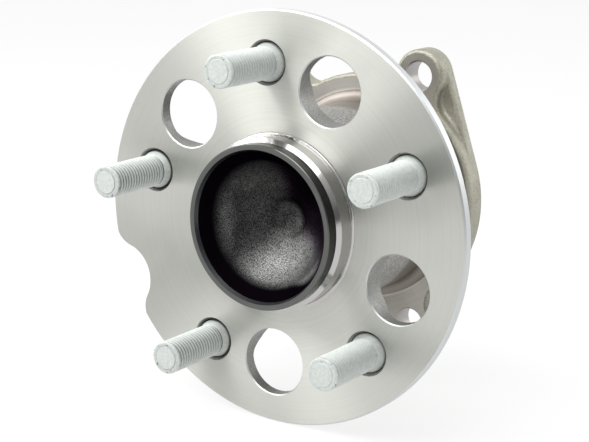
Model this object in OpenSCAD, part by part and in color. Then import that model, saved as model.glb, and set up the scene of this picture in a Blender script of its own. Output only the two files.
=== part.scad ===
// Wheel hub and bearing unit for a non-driven rear axle.
// A flanged hub carries the wheel on five studs and turns in a stationary outer ring on two rows of
// angular contact balls. The outer ring bolts to the knuckle by four ears. A pressed cap with a wheel
// speed sensor closes the inner end.
// The origin is the centre of the wheel-mounting face, the wheel axis is Y and outboard is -Y.

/* [Wheel flange] */
// Outer diameter of the wheel flange
flange_d = 152; // [148:0.5:156]
// Thickness of the flange web between the spokes
web_t = 4.8; // [4:0.1:6]
// Chamfer round the front of the rim
rim_front_chamfer = 0.6; // [0.3:0.1:1]
// Chamfer round the back of the rim
rim_back_chamfer = 1.2; // [0.6:0.1:2]
// Thickness of the five forged spokes, from the wheel face to their back
spoke_t = 9.3; // [8.3:0.1:10]
// Width of a spoke
spoke_w = 25.6; // [23:0.1:27]
// Bevel along the back edges of a spoke
spoke_bevel = 1.2; // [0.5:0.1:2]
// Flare of a spoke's sides where they meet the web
spoke_flare = 2; // [1:0.1:2.5]
// Diameter of the thick boss at the middle of the flange's back
boss_d = 71; // [68:0.5:73]
// Thickness of the flange at the boss
boss_t = 11.5; // [10.5:0.1:12.5]
// Diameter where the slope round the boss ends on the flange's shoulder
boss_slope_d = 88; // [84:0.5:92]
// Drop from the backs of the spokes to the shoulder between them
shoulder_drop = 0.4; // [0.2:0.1:0.8]
// Diameter where the shoulder starts to fall to the web
shoulder_d = 94; // [93:0.5:97]
// Diameter at the foot of the shoulder, on the web
shoulder_foot_d = 112; // [106:0.5:116]
// Turn of the hub in its bearing at rest: the angle of the rim notch from +X
hub_turn = 204.4; // [0:0.1:360]

/* [Rim notch] */
// Radius of the notch in the rim
notch_r = 13; // [11:0.5:14]
// Distance from the axis to the centre of the notch
notch_centre = 78.2; // [77:0.1:80]
// Radius that rounds the notch into the rim
notch_fillet = 9.5; // [6:0.5:11]

/* [Wheel studs] */
// Number of wheel studs and spokes
stud_count = 5; // [5:1:5]
// Pitch circle diameter of the wheel studs
stud_pcd = 114.3; // [112:0.1:116]
// Thread diameter of a stud
stud_d = 12; // [11:0.5:12.5]
// Height of the stud ends above the wheel face
stud_reach = 29; // [24:0.5:36]
// Diameter of the flat at the end of a stud
stud_point_d = 8.6; // [8:0.1:10]
// Diameter of the knurled shank pressed into the flange
knurl_d = 14.3; // [13.5:0.1:15]
// Depth of the shank's front edge below the wheel face
knurl_inset = 0.9; // [0.5:0.1:1.5]
// Length of the cone between the shank and the thread
stud_cone = 1.4; // [1:0.1:2]
// Diameter of the recess round the stud in the wheel face
stud_recess_d = 14.9; // [14.8:0.1:16]
// Depth of the recess round the stud
stud_recess = 2.4; // [1.8:0.1:3]
// Depth of the countersink at the mouth of that recess
stud_countersink = 0.5; // [0.3:0.1:1]
// Diameter of the stud head
stud_head_d = 20; // [18:0.5:22]
// Thickness of the stud head
stud_head_t = 3.6; // [3:0.1:4.5]
// Chamfer round the back of the stud head
stud_head_chamfer = 1; // [0.5:0.1:1.5]

/* [Knuckle bolts and access holes] */
// Pitch circle diameter of the four knuckle bolts
bolt_pcd = 106.2; // [105:0.1:108]
// Angle of the first pair of bolts on each side of +X
bolt_angle_1 = 65; // [63:0.1:67]
// Angle of the second pair of bolts on each side of +X
bolt_angle_2 = 137; // [135:0.1:139]
// Diameter of the bolt holes in the ears
bolt_hole_d = 11; // [10:0.1:12]
// Diameter of the four wrench holes through the wheel flange
access_d = 25; // [22:0.5:25]
// Chamfer at the mouth of the wrench holes and the bolt holes
hole_chamfer = 0.4; // [0.2:0.1:0.6]

/* [Pilots and front recess] */
// Diameter of the brake rotor pilot
rotor_pilot_d = 63; // [62:0.1:65]
// Height of the brake rotor pilot
rotor_pilot_h = 7; // [5:0.1:8]
// Diameter of the wheel pilot
wheel_pilot_d = 60; // [59:0.1:61]
// Height of the bevel between the two pilots
pilot_bevel = 1.2; // [0.8:0.1:2]
// Height of the wheel pilot's front face above the wheel face
pilot_h = 12.9; // [11.8:0.1:15]
// Fillet at the foot of the rotor pilot
pilot_foot = 1; // [0.5:0.1:1.5]
// Chamfer at the front edge of the wheel pilot
pilot_edge = 0.3; // [0.2:0.1:0.6]
// Width of the flat ring at the pilot's front
pilot_land = 1.7; // [1:0.1:2]
// Diameter of the recess at the end of its turned bevel
recess_mouth_d = 54.6; // [53:0.1:55]
// Drop of the turned bevel at the recess's mouth
recess_mouth_drop = 1.6; // [0.8:0.1:2]
// Diameter at the foot of the forged wall of the recess
recess_wall_d = 46.6; // [45:0.1:48]
// Height of the foot of that wall above the wheel face
recess_wall_h = 7.2; // [6:0.1:8]
// Diameter of the small cup in the middle of the recess
cup_d = 15; // [13:0.1:17]
// Depth of the cup's edge below the wheel face
cup_edge = 6; // [4:0.1:7]
// Depth of the cup below its edge
cup_depth = 2; // [1.2:0.1:2.6]

/* [Ball rows] */
// Ball diameter
ball_d = 11.906; // [11.8:0.01:12]
// Number of balls in each row
ball_count = 12; // [12:1:12]
// Pitch circle diameter of the ball rows
pitch_d = 52; // [51.5:0.1:52.5]
// Contact angle of the balls
contact_angle = 40; // [38:0.5:42]
// Raceway radius as a share of the ball diameter
race_ratio = 0.52; // [0.515:0.005:0.53]
// Gap between a ball and its raceway
race_gap = 0.03; // [0.02:0.01:0.05]
// Distance from the outer ring's front face to the first ball row
row_inset = 15.5; // [15:0.1:16.5]
// Distance between the two ball rows
row_spacing = 31.5; // [30:0.1:33]
// Thickness of the cage web between its rims
cage_t = 3; // [2.6:0.1:3.4]
// Radial thickness of the cage rims
cage_rim_t = 3.2; // [3:0.1:3.4]
// Width of a cage
cage_w = 14.6; // [14.2:0.1:15]
// Clearance of a cage from the rings
cage_gap = 0.6; // [0.5:0.1:0.7]
// Clearance of a ball in its cage pocket
pocket_gap = 0.15; // [0.1:0.01:0.2]

/* [Outer ring] */
// Outer diameter of the ring's barrel
barrel_d = 73; // [72:0.1:75]
// Gap between the hub's boss and the ring's front face
ring_front_gap = 3.5; // [3:0.1:4.5]
// Bore diameter at both ends of the ring
ring_bore_d = 64.4; // [64.3:0.05:64.6]
// Diameter of the ring's land between the ball rows
ring_land_d = 54.4; // [53.5:0.1:55]
// Depth of the ears' front face below the wheel face
ear_front = 59; // [57:0.1:61]
// Thickness of the ears
ear_t = 9.5; // [8.5:0.1:11]
// Thickness of the plate behind the ears
plate_t = 5; // [4:0.1:6]
// Radius of an ear round its bolt hole
ear_r = 10; // [9:0.1:10.5]
// Chamfer round the machined front of an ear
ear_chamfer = 0.6; // [0.3:0.1:1]
// Outer diameter of the ring's flange between the ears
disc_d = 93.6; // [92:0.1:96]
// Radius that blends an ear into the flange
ear_blend = 8; // [5:0.5:10]
// Fillet between the barrel and the front of the flange
barrel_fillet = 5; // [3:0.1:5.5]
// Diameter of the spigot that fits the knuckle's bore
spigot_d = 72; // [71:0.1:72.5]
// Length of the spigot behind the flange
spigot_h = 11.5; // [10.5:0.1:12]
// Chamfer inside the ring's inner end, which holds the cap's seal
cap_chamfer = 2.4; // [2:0.1:2.6]
// Chamfer at the turned ends of the ring
ring_chamfer = 0.5; // [0.3:0.1:1]

/* [Spindle, inner ring and nut] */
// Diameter of the hub's land between the ball rows
spindle_d = 39.6; // [39.4:0.1:39.8]
// Diameter of the hub's seal land
seal_land_d = 50; // [49.6:0.1:50.4]
// Fillet between the seal land and the boss
seal_fillet = 3; // [2:0.1:3.2]
// Diameter of the seat of the inner ring
seat_d = 30; // [29:0.5:31]
// Distance from the inner ring's abutment to the second ball row
abutment = 11; // [10:0.1:12]
// Width of the inner ring
inner_ring_w = 22; // [21.5:0.1:22.5]
// Shoulder diameter of the inner ring
inner_ring_d = 49.6; // [49.2:0.1:50]
// Chamfer of the inner ring's bore
inner_ring_chamfer = 0.8; // [0.5:0.1:1.2]
// Shortfall of the seat behind the inner ring's end, so that the nut clamps the ring
seat_short = 1; // [0.6:0.1:1.5]
// Thread diameter of the spindle
spindle_thread_d = 24; // [22:0.5:25]
// Width of the nut across its flats
nut_flats = 36; // [34:0.5:37]
// Height of the nut
nut_h = 12; // [11:0.1:13]
// Diameter of the nut's round staking collar
nut_collar_d = 29; // [28:0.5:30]
// Height of the nut's staking collar
nut_collar_h = 3; // [2:0.1:3.5]
// Height of the spindle end above the nut
spindle_proud = 1.2; // [0.8:0.1:2]
// Width and depth of the staking slot in the spindle end
stake_slot = 4; // [3:0.1:5]
// Diameter of the lathe centre in the spindle end
centre_d = 7; // [5:0.1:8]
// Chamfer at the end of the spindle's thread
thread_chamfer = 1; // [0.5:0.1:1.5]
// Chamfer at the end of the inner ring's seat
seat_chamfer = 0.5; // [0.3:0.1:0.8]

/* [Seals, encoder and cap] */
// Width of the outboard seal
seal_w = 6; // [5.5:0.1:6.2]
// Inset of the seal from the ring's front face
seal_inset = 0.6; // [0.4:0.1:0.8]
// Thickness of the pressed steel of the seal and the encoder carrier
sheet_t = 0.9; // [0.8:0.05:1]
// Running gap of the seal lips
lip_gap = 0.1; // [0.05:0.01:0.15]
// Thickness of the seal lips at their root
lip_t = 1.1; // [0.9:0.1:1.3]
// Clearance between the inboard cage and the encoder's carrier
carrier_gap = 0.5; // [0.4:0.1:1]
// Outer diameter of the encoder ring
encoder_d = 60.4; // [59.8:0.1:60.8]
// Radial width of the magnetic encoder ring
encoder_w = 4.3; // [4:0.1:4.5]
// Thickness of the magnetic encoder ring
encoder_t = 1.2; // [1:0.1:1.5]
// Air gap between the encoder and the sensor
air_gap = 0.8; // [0.5:0.1:1.2]
// Thickness of the cap's sheet steel
cap_t = 1.2; // [1:0.05:1.3]
// Length of the cap pressed into the ring beyond the seal chamfer
cap_press = 5; // [4:0.1:5.5]
// Outer diameter of the cap's rim
cap_rim_d = 70.4; // [69.5:0.1:71]
// Clearance between the spindle end and the cap
cap_gap = 1.2; // [1:0.1:2]
// Bend radius at the back of the cap
cap_bend = 3; // [2:0.1:3.5]

/* [Wheel speed sensor] */
// Width of the sensor's nose along the encoder
nose_w = 8; // [7:0.1:9]
// Radial thickness of the sensor's nose
nose_t = 4.6; // [4:0.1:4.8]
// Width of the sensor's foot on the cap
foot_w = 21; // [20:0.1:23]
// Thickness of the sensor's foot
foot_t = 2.6; // [2:0.1:3.5]
// Width of the plug socket
socket_w = 17; // [16:0.1:19]
// Height of the plug socket
socket_h = 10.4; // [9.8:0.1:12]
// Length of the plug socket behind the foot
socket_l = 14.5; // [13:0.1:17]
// Wall of the plug socket
socket_wall = 1.5; // [1.2:0.1:1.6]
// Radial distance from the axis to the middle of the socket
socket_r = 19; // [18:0.1:20]
// Width of a plug terminal
terminal_w = 2.8; // [2:0.1:3]
// Thickness of a plug terminal
terminal_t = 0.8; // [0.6:0.1:1]
// Distance between the two terminals
terminal_gap = 5.4; // [5:0.1:6]
// Length of a terminal inside the socket
terminal_l = 7; // [5:0.1:7.5]
// Radius at the outer corners of the sensor's foot
foot_corner = 4; // [2:0.1:5]
// Width of the latch ramp on the socket
latch_w = 5; // [4:0.1:6]
// Length of the latch ramp
latch_l = 8; // [6:0.1:9]
// Height of the latch ramp above the socket
latch_h = 1.6; // [1:0.1:2]

/* [Hidden] */
$fn = 96;
sink = 1;
ball_r = ball_d / 2;
pitch_r = pitch_d / 2;
race_r = ball_d * race_ratio;
race_shift = race_r - ball_r - race_gap;
shoulder_t = spoke_t - shoulder_drop;
ring_front = boss_t + ring_front_gap;
row_1 = ring_front + row_inset;
row_2 = row_1 + row_spacing;
ear_back = ear_front + ear_t;
plate_front = ear_back - plate_t;
ring_end = ear_back + spigot_h;
inner_ring_front = row_2 - abutment;
inner_ring_end = inner_ring_front + inner_ring_w;
nut_end = inner_ring_end + nut_h;
spindle_end = nut_end + spindle_proud;
carrier_front = row_2 + cage_w / 2 + carrier_gap;
carrier_end = inner_ring_end + sheet_t;
encoder_face = carrier_end + encoder_t;
nose_face = encoder_face + air_gap;
cap_inside = spindle_end + cap_gap;
cap_outside = cap_inside + cap_t;
cap_rim_r = cap_rim_d / 2;
foot_end = cap_outside + foot_t;
socket_end = foot_end + socket_l;
socket_floor = foot_end + 1;
seal_front = ring_front + seal_inset;
seal_back = seal_front + seal_w;
slinger_r = seal_land_d / 2 + sheet_t;
slinger_gap = 0.6;
case_bore_r = ring_bore_d / 2 - sheet_t;
case_flange_r = case_bore_r - 3;
nose_r = encoder_d / 2 - encoder_w / 2 - 0.1;
hub_bolt_angles = [bolt_angle_1, -bolt_angle_1, bolt_angle_2, -bolt_angle_2];
stud_angles = [for (i = [0:stud_count - 1]) hub_turn + 180 + i * 360 / stud_count];

// Height of the centre, on the axis, of a circle through two points of a section
function axis_centre(p, q) = (p.x * p.x + p.y * p.y - q.x * q.x - q.y * q.y) / (2 * (p.y - q.y));

// Centre of the circle of radius blend that touches a circle round the axis and one at distance away
function blend_centre(disc_r, away, round_r, blend) =
    let (a = disc_r + blend, b = round_r + blend, x = (a * a - b * b + away * away) / (2 * away))
    [x, sqrt(a * a - x * x)];

// Point of the flange's back at a share of the way down from the shoulder to the web
function shoulder_point(share) = [
    (shoulder_d + share * (shoulder_foot_d - shoulder_d)) / 2,
    -web_t - (shoulder_t - web_t) * (1 + cos(180 * share)) / 2
];

// Axial offset at radius r on one face of the slanted cage web
function cage_edge(r, side) =
    let (k = (r - pitch_r - side * cage_t / 2 * cos(contact_angle)) / sin(contact_angle))
    k * cos(contact_angle) - side * cage_t / 2 * sin(contact_angle);

// Everything is drawn about Z with outboard up, and this turns the axis to Y with outboard to -Y
module on_axle() {
    rotate([90, 0, 0]) children();
}

// Turned solid: a section of radius and height revolved about the axis
module turned() {
    on_axle() rotate_extrude() children();
}

// Adds the material of a fillet of radius r in an inside corner, towards the signs given
module inside_fillet(corner, r, sx, sy) {
    difference() {
        translate([corner.x + (sx < 0 ? -r : 0), corner.y + (sy < 0 ? -r : 0)]) square(r);
        translate([corner.x + sx * r, corner.y + sy * r]) circle(r);
    }
}

// Raceway circle of one ring: side 1 for the outer ring and -1 for the inner one, way 1 for the
// outboard row and -1 for the inboard row
module raceway(depth, side, way) {
    translate([pitch_r - side * race_shift * cos(contact_angle), -depth + side * way * race_shift * sin(contact_angle)])
        circle(race_r);
}

// Section of half a spoke across its width: a bevelled bar that flares in two facets into the web, where
// the lower one runs on inside. They meet at the share called bend of the flare's width and height.
module spoke_half_section() {
    half = spoke_w / 2;
    bend = 0.3;
    foot = half + spoke_flare + sink * (1 - bend) / bend;
    polygon([
        [0, -web_t + sink], [foot, -web_t + sink],
        [half + bend * spoke_flare, -web_t - bend * spoke_flare], [half, -web_t - spoke_flare],
        [half, -spoke_t + spoke_bevel], [half - spoke_bevel, -spoke_t], [0, -spoke_t]
    ]);
}

// One spoke: a bar from the boss to the stud, and its round end about the stud
module spoke() {
    rotate([90, 0, 90]) linear_extrude(stud_pcd / 2) {
        spoke_half_section();
        mirror([1, 0]) spoke_half_section();
    }
    translate([stud_pcd / 2, 0]) rotate_extrude() spoke_half_section();
}

// Outline of the notch that is cut from the rim, on +X, with its round shoulders
module notch_outline() {
    fillet_r = flange_d / 2 - notch_fillet;
    reach = notch_r + notch_fillet;
    x = (fillet_r * fillet_r - reach * reach + notch_centre * notch_centre) / (2 * notch_centre);
    y = sqrt(fillet_r * fillet_r - x * x);
    out = (flange_d / 2 + notch_fillet) / fillet_r;
    translate([notch_centre, 0]) circle(notch_r);
    difference() {
        polygon([[notch_centre, 0], [x, y], [x * out, y * out], [x * out, -y * out], [x, -y]]);
        for (s = [-1, 1]) translate([x, s * y]) circle(notch_fillet);
    }
}

// Section of the hub forging, from the spindle end to the pilots
module hub_section() {
    thread_r = spindle_thread_d / 2;
    seat_r = seat_d / 2;
    seat_end = inner_ring_end - seat_short;
    land_r = spindle_d / 2;
    seal_r = seal_land_d / 2;
    boss_r = boss_d / 2;
    rim_r = flange_d / 2;
    rotor_r = rotor_pilot_d / 2;
    wheel_r = wheel_pilot_d / 2;
    wall = [recess_wall_d / 2, recess_wall_h];
    cup = [cup_d / 2, -cup_edge];
    bowl_h = axis_centre(wall, cup);
    difference() {
        union() {
            polygon(concat([
                [0, -spindle_end], [thread_r - thread_chamfer, -spindle_end],
                [thread_r, -spindle_end + thread_chamfer],
                [thread_r, -seat_end], [seat_r - seat_chamfer, -seat_end], [seat_r, -seat_end + seat_chamfer],
                [seat_r, -inner_ring_front], [land_r, -inner_ring_front], [land_r, -row_1],
                [seal_r, -row_1], [seal_r, -boss_t], [boss_r, -boss_t], [boss_slope_d / 2, -shoulder_t]
            ], [for (share = [0:0.25:1]) shoulder_point(share)], [
                [rim_r - rim_back_chamfer, -web_t], [rim_r, -web_t + rim_back_chamfer],
                [rim_r, -rim_front_chamfer], [rim_r - rim_front_chamfer, 0], [rotor_r, 0],
                [rotor_r, rotor_pilot_h], [wheel_r, rotor_pilot_h + pilot_bevel],
                [wheel_r, pilot_h - pilot_edge], [wheel_r - pilot_edge, pilot_h],
                [wheel_r - pilot_edge - pilot_land, pilot_h],
                [recess_mouth_d / 2, pilot_h - recess_mouth_drop], wall, [0, wall.y]
            ]));
            inside_fillet([seal_r, -boss_t], seal_fillet, 1, -1);
            inside_fillet([rotor_r, 0], pilot_foot, 1, 1);
        }
        raceway(row_1, -1, 1);
        intersection() {
            translate([0, bowl_h]) circle(norm([wall.x, wall.y - bowl_h]));
            translate([0, -boss_t]) square([wall.x + sink, boss_t + pilot_h]);
        }
        translate([0, -cup_edge - cup_depth]) square([cup.x, cup_depth + sink]);
    }
}

// The forged and turned hub: spindle, raceway, spoked flange and pilots
module hub_flange() color("gainsboro") on_axle() difference() {
    union() {
        rotate_extrude() hub_section();
        for (a = stud_angles) rotate(a) spoke();
    }
    for (a = stud_angles) rotate(a) translate([stud_pcd / 2, 0, -boss_t]) {
        cylinder(d = knurl_d, h = 2 * boss_t);
        translate([0, 0, boss_t - stud_recess]) cylinder(d = stud_recess_d, h = 2 * stud_recess);
        translate([0, 0, boss_t - stud_countersink])
            cylinder(d1 = stud_recess_d, d2 = stud_recess_d + 4 * stud_countersink, h = 2 * stud_countersink);
    }
    for (a = hub_bolt_angles) rotate(hub_turn + a) translate([bolt_pcd / 2, 0, -boss_t]) {
        cylinder(d = access_d, h = 2 * boss_t);
        translate([0, 0, boss_t - hole_chamfer])
            cylinder(d1 = access_d, d2 = access_d + 4 * hole_chamfer, h = 2 * hole_chamfer);
    }
    rotate(hub_turn) translate([0, 0, -boss_t]) linear_extrude(2 * boss_t) notch_outline();
    translate([0, 0, -spindle_end]) {
        translate([0, 0, -sink]) cylinder(d1 = centre_d + 2 * sink, d2 = 0, h = centre_d / 2 + sink);
        translate([spindle_thread_d / 2 - stake_slot / 2, -stake_slot / 2, -sink])
            cube([stake_slot, stake_slot, stake_slot + sink]);
    }
}

// Wheel stud, pressed in from behind: head, knurled shank, cone, thread and point
module wheel_stud(i) {
    shank_r = knurl_d / 2;
    head_r = stud_head_d / 2;
    thread_r = stud_d / 2;
    point = thread_r - stud_point_d / 2;
    color("silver") on_axle() rotate(stud_angles[i - 1]) translate([stud_pcd / 2, 0]) rotate_extrude() polygon([
        [0, -spoke_t - stud_head_t], [head_r - stud_head_chamfer, -spoke_t - stud_head_t],
        [head_r, -spoke_t - stud_head_t + stud_head_chamfer], [head_r, -spoke_t],
        [shank_r, -spoke_t], [shank_r, -knurl_inset], [thread_r, -knurl_inset + stud_cone],
        [thread_r, stud_reach - point], [stud_point_d / 2, stud_reach], [0, stud_reach]
    ]);
}

// The separate inner ring of the inboard row, pressed on the spindle
module inner_ring() color("lightsteelblue") turned() difference() {
    polygon([
        [seat_d / 2, -inner_ring_front - inner_ring_chamfer],
        [seat_d / 2 + inner_ring_chamfer, -inner_ring_front],
        [spindle_d / 2, -inner_ring_front], [spindle_d / 2, -row_2], [inner_ring_d / 2, -row_2],
        [inner_ring_d / 2, -inner_ring_end], [seat_d / 2 + inner_ring_chamfer, -inner_ring_end],
        [seat_d / 2, -inner_ring_end + inner_ring_chamfer]
    ]);
    raceway(row_2, -1, -1);
}

// Hexagon nut that clamps the inner ring, with a thin collar staked into the spindle's slot
module spindle_nut() color("darkgray") on_axle() difference() {
    translate([0, 0, -nut_end]) {
        intersection() {
            translate([0, 0, nut_collar_h])
                cylinder(r = nut_flats / 2 / cos(30), h = nut_h - nut_collar_h, $fn = 6);
            translate([0, 0, nut_collar_h])
                cylinder(r1 = nut_flats / 2 + 0.6, r2 = nut_flats / 2 + nut_h, h = nut_h);
        }
        cylinder(d = nut_collar_d, h = nut_collar_h + sink);
    }
    translate([0, 0, -nut_end - sink]) cylinder(d = spindle_thread_d, h = nut_h + 2 * sink);
}

// Outline of the ring's flange on one face: disc, ears and their blends
module ear_outline() {
    r = disc_d / 2;
    away = bolt_pcd / 2;
    touch = blend_centre(r, away, ear_r, ear_blend);
    circle(r);
    for (a = hub_bolt_angles) rotate(a) {
        translate([away, 0]) circle(ear_r);
        difference() {
            polygon([[0, 0], touch, [away, 0], [touch.x, -touch.y]]);
            for (s = [-1, 1]) translate([touch.x, s * touch.y]) circle(ear_blend);
        }
    }
}

// Outline of the plate behind the ears: it runs straight from the first pair of ears to the disc
module plate_outline() {
    r = disc_d / 2;
    away = bolt_pcd / 2;
    lean = acos((r - ear_r) / away);
    ear_outline();
    for (s = [-1, 1]) {
        along = [cos(bolt_angle_1), s * sin(bolt_angle_1)];
        side = [cos(bolt_angle_1 - lean), s * sin(bolt_angle_1 - lean)];
        polygon([[0, 0], r * side, away * along + ear_r * side, away * along]);
    }
}

// Section of the outer ring: barrel, flange, spigot, bore and both raceways
module ring_section() {
    barrel_r = barrel_d / 2;
    bore_r = ring_bore_d / 2;
    land_r = ring_land_d / 2;
    spigot_r = spigot_d / 2;
    difference() {
        union() {
            polygon([
                [bore_r, -ring_front - ring_chamfer], [bore_r + ring_chamfer, -ring_front],
                [barrel_r - 2 * ring_chamfer, -ring_front], [barrel_r, -ring_front - 2 * ring_chamfer],
                [barrel_r, -ear_front], [barrel_r + barrel_fillet + sink, -ear_front],
                [barrel_r + barrel_fillet + sink, -ear_back],
                [spigot_r, -ear_back], [spigot_r, -ring_end + ring_chamfer],
                [spigot_r - ring_chamfer, -ring_end], [bore_r + cap_chamfer, -ring_end],
                [bore_r, -ring_end + cap_chamfer], [bore_r, -row_2], [land_r, -row_2],
                [land_r, -row_1], [bore_r, -row_1]
            ]);
            inside_fillet([barrel_r, -ear_front], barrel_fillet, 1, 1);
        }
        raceway(row_1, 1, 1);
        raceway(row_2, 1, -1);
    }
}

// One machined ear round its bolt
module ear() {
    rotate_extrude() polygon([
        [0, -ear_back], [ear_r, -ear_back], [ear_r, -ear_front - ear_chamfer],
        [ear_r - ear_chamfer, -ear_front], [0, -ear_front]
    ]);
}

// The stationary forged outer ring with its four ears
module outer_ring() color("darkkhaki") on_axle() difference() {
    union() {
        rotate_extrude() ring_section();
        difference() {
            union() {
                translate([0, 0, -ear_back]) linear_extrude(plate_t) plate_outline();
                translate([0, 0, -plate_front]) linear_extrude(ear_t - plate_t - ear_chamfer) ear_outline();
                translate([0, 0, -ear_front - ear_chamfer])
                    cylinder(r1 = disc_d / 2, r2 = disc_d / 2 - ear_chamfer, h = ear_chamfer);
                for (a = hub_bolt_angles) rotate(a) translate([bolt_pcd / 2, 0]) ear();
            }
            translate([0, 0, -ear_back - sink]) cylinder(d = barrel_d, h = ear_t + 2 * sink);
        }
    }
    for (a = hub_bolt_angles) rotate(a) translate([bolt_pcd / 2, 0, -ear_back - sink]) {
        cylinder(d = bolt_hole_d, h = ear_t + 2 * sink);
        translate([0, 0, ear_t + sink - hole_chamfer])
            cylinder(d1 = bolt_hole_d, d2 = bolt_hole_d + 4 * hole_chamfer, h = 2 * hole_chamfer);
    }
}

// Cage of one row: two rims joined by a slanted web, with a round pocket for each ball
module cage(depth, way) {
    outer_r = ring_bore_d / 2 - cage_gap;
    inner_r = spindle_d / 2 + cage_gap;
    rim_in = outer_r - cage_rim_t;
    rim_out = inner_r + cage_rim_t;
    half = cage_w / 2;
    color("sandybrown") on_axle() translate([0, 0, -depth]) difference() {
        mirror([0, 0, way < 0 ? 1 : 0]) rotate_extrude() polygon([
            [rim_in, half], [outer_r, half], [outer_r, cage_edge(outer_r, 1)],
            [rim_out, cage_edge(rim_out, 1)], [rim_out, -half], [inner_r, -half],
            [inner_r, cage_edge(inner_r, -1)], [rim_in, cage_edge(rim_in, -1)]
        ]);
        for (i = [1:ball_count]) rotate(i * 360 / ball_count) translate([pitch_r, 0]) sphere(ball_r + pocket_gap);
    }
}

// One ball of a row
module ball(i, depth) {
    color("whitesmoke") on_axle() rotate(i * 360 / ball_count) translate([pitch_r, 0, -depth]) sphere(ball_r);
}

// Pressed steel slinger on the hub's seal land
module seal_slinger() color("silver") turned() polygon([
    [seal_land_d / 2, -seal_front], [case_bore_r - slinger_gap, -seal_front],
    [case_bore_r - slinger_gap, -seal_front - sheet_t], [slinger_r, -seal_front - sheet_t],
    [slinger_r, -seal_back], [seal_land_d / 2, -seal_back]
]);

// Pressed steel case of the outboard seal, in the ring's bore
module seal_case() color("gray") turned() polygon([
    [case_bore_r, -seal_front], [ring_bore_d / 2, -seal_front], [ring_bore_d / 2, -seal_back],
    [case_flange_r, -seal_back], [case_flange_r, -seal_back + sheet_t],
    [case_bore_r, -seal_back + sheet_t]
]);

// Rubber lips bonded to the seal case: one runs on the slinger's sleeve and one on its flange
module seal_lips() color("dimgray") turned() {
    root = seal_back - sheet_t;
    tip = seal_front + sheet_t + lip_gap;
    flange_lip = case_bore_r - 2;
    union() {
        polygon([
            [slinger_r + lip_gap, -root + 1.2], [slinger_r + lip_gap + 0.5, -root + 1.2],
            [case_flange_r + lip_t, -root], [case_flange_r, -root], [case_flange_r, -seal_back],
            [slinger_r + 1, -seal_back]
        ]);
        polygon([
            [flange_lip - lip_t, -root], [flange_lip, -root], [flange_lip + 1, -tip],
            [flange_lip + 0.5, -tip]
        ]);
    }
}

// Pressed carrier of the encoder, on the inner ring's shoulder
module encoder_carrier() color("silver") turned() polygon([
    [inner_ring_d / 2, -carrier_front], [inner_ring_d / 2 + sheet_t, -carrier_front],
    [inner_ring_d / 2 + sheet_t, -inner_ring_end], [encoder_d / 2, -inner_ring_end],
    [encoder_d / 2, -carrier_end], [inner_ring_d / 2, -carrier_end]
]);

// Magnetised encoder ring bonded to the carrier
module encoder_magnet() color("dimgray") turned() {
    translate([encoder_d / 2 - encoder_w, -encoder_face]) square([encoder_w, encoder_t]);
}

// Section of the pressed cap that closes the ring's inner end
module cap_section() {
    outer_r = ring_bore_d / 2;
    inner_r = outer_r - cap_t;
    bend = cap_bend + cap_t;
    difference() {
        polygon([
            [0, -cap_outside], [outer_r, -cap_outside], [outer_r, -ring_end - cap_t],
            [cap_rim_r, -ring_end - cap_t], [cap_rim_r, -ring_end], [outer_r, -ring_end],
            [outer_r, -ring_end + cap_chamfer + cap_press], [inner_r, -ring_end + cap_chamfer + cap_press],
            [inner_r, -cap_inside], [0, -cap_inside]
        ]);
        inside_fillet([outer_r, -cap_outside], bend, -1, 1);
    }
    inside_fillet([inner_r, -cap_inside], cap_bend, -1, 1);
}

// The pressed rear cap with the window for the sensor
module rear_cap() color("silver") difference() {
    turned() cap_section();
    sensor_nose(0);
}

// Rubber ring in the triangle between the ring's chamfer, the cap's wall and the cap's rim
module cap_seal() color("black") turned() {
    r = cap_chamfer * (2 - sqrt(2)) / 2;
    translate([ring_bore_d / 2 + r, -ring_end + r]) circle(r);
}

// The sensor's nose, which stands through the cap's window and looks at the encoder
module sensor_nose(more) {
    on_axle() translate([-nose_w / 2, nose_r - nose_t / 2, -cap_outside - more])
        cube([nose_w, nose_t, cap_outside - nose_face + more]);
}

// Rounded oblong of the plug socket
module socket_outline(inset) {
    h = socket_h - 2 * inset;
    flat = socket_w - socket_h;
    translate([-flat / 2, -h / 2]) square([flat, h]);
    for (s = [-1, 1]) translate([s * flat / 2, 0]) circle(d = h);
}

// Moulded sensor body: nose, foot on the cap and plug socket with its latch
module sensor_body() color("dimgray") {
    low = socket_r - socket_h / 2 - 2;
    high = nose_r + nose_t / 2;
    sensor_nose(sink);
    on_axle() difference() {
        union() {
            translate([0, 0, -foot_end]) linear_extrude(foot_t) {
                translate([-foot_w / 2, low]) square([foot_w, high - low - foot_corner]);
                translate([-foot_w / 2 + foot_corner, low]) square([foot_w - 2 * foot_corner, high - low]);
                for (s = [-1, 1]) translate([s * (foot_w / 2 - foot_corner), high - foot_corner]) circle(foot_corner);
            }
            translate([0, socket_r, -socket_end]) linear_extrude(socket_l + sink) socket_outline(0);
            translate([-latch_w / 2, socket_r + socket_h / 2 - sink, -socket_end + latch_l / 4])
                rotate([90, 0, 90]) linear_extrude(latch_w)
                polygon([[0, 0], [0, latch_l], [sink, latch_l], [sink + latch_h, latch_l / 5], [sink + latch_h, 0]]);
        }
        translate([0, socket_r, -socket_end - sink]) linear_extrude(socket_end - socket_floor + sink)
            socket_outline(socket_wall);
        terminals();
    }
}

// The two blades of the plug, moulded into the sensor body
module terminals() {
    for (s = [-1, 1])
        translate([s * terminal_gap / 2 - terminal_w / 2, socket_r - terminal_t / 2, -socket_floor - terminal_l])
            cube([terminal_w, terminal_t, terminal_l + 2]);
}

// Plated terminals of the sensor
module sensor_terminals() color("gold") on_axle() terminals();

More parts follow.
